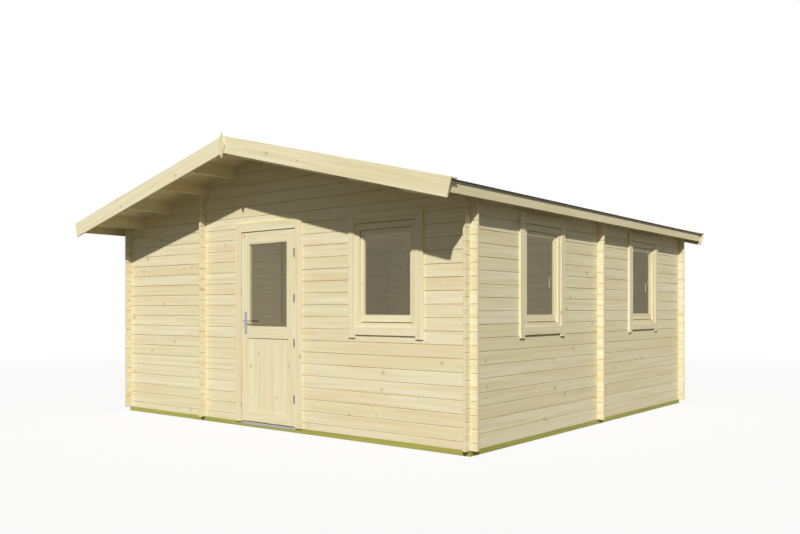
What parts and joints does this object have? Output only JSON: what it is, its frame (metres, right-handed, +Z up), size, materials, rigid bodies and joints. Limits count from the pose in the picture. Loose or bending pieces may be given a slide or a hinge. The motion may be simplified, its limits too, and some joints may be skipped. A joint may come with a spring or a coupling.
{
  "type": "log cabin",
  "caption": "Single-room log cabin with interlocked corner logs, a felted saddle roof on purlins, a half-glazed door and small framed windows.",
  "frame": {"origin": "on the ground, under the middle of the whole outline, roof overhangs included", "axes": "+Z up, -Y towards the door side, +X towards the long wall with two windows"},
  "size_m": [5.3072, 5.797, 2.8977],
  "materials": {
    "pine": "planed, untreated",
    "treated_pine": "pressure-treated green",
    "roofing_felt": "mineral felt",
    "glass": "clear float glass",
    "steel": "satin",
    "aluminium": "mill finish"
  },
  "bodies": {
    "cabin": {"sill_beams_gables": "treated_pine", "sill_beams_sides": "treated_pine", "floor_joists": "treated_pine", "floor_boards": "pine", "front_wall_left": "pine", "front_wall_lower_right": "pine", "front_wall_middle": "pine", "front_wall_right": "pine", "front_gable": "pine", "back_wall": "pine", "left_wall": "pine", "right_wall_lower": "pine", "right_wall_front": "pine", "right_wall_middle": "pine", "right_wall_back": "pine", "right_wall_upper": "pine", "cross_logs_gables": "pine", "cross_logs_sides": "pine", "ridge_purlin": "pine", "purlins_left": "pine", "purlins_right": "pine", "roof_deck_left": "pine", "roof_deck_right": "pine", "felt_left": "roofing_felt", "felt_right": "roofing_felt", "barge_front_left": "pine", "barge_front_right": "pine", "barge_back_left": "pine", "barge_back_right": "pine", "rake_caps_left": "pine", "rake_caps_right": "pine", "gable_diamonds": "pine", "eave_fascias": "pine", "door_jamb_left": "pine", "door_jamb_right": "pine", "door_head": "pine", "door_threshold": "aluminium", "hinge_pins": "steel", "front_window_frame": "pine", "front_window_sash": "pine", "front_window_glass": "glass", "side_window_1_frame": "pine", "side_window_1_sash": "pine", "side_window_1_glass": "glass", "side_window_2_frame": "pine", "side_window_2_sash": "pine", "side_window_2_glass": "glass"},
    "door": {"door_leaf": "pine", "door_glass": "glass", "door_panel": "pine", "handle_plates": "steel", "hinge_knuckles": "steel"},
    "handle": {"door_lever": "steel"}
  },
  "joints": [
    {"name": "door_hinge", "type": "hinge", "parent": "cabin", "child": "door", "pos_m": [0.3925, -2.3185, 1.03], "axis": [0, 0, 1], "range_deg": [0, 160]},
    {"name": "lever_turn", "type": "hinge", "parent": "door", "child": "handle", "pos_m": [-0.327, -2.3085, 1.091], "axis": [0, 1, 0], "range_deg": [0, 40], "stiffness_Nm_per_rad": 1.2, "springref_deg": -22.92}
  ]
}
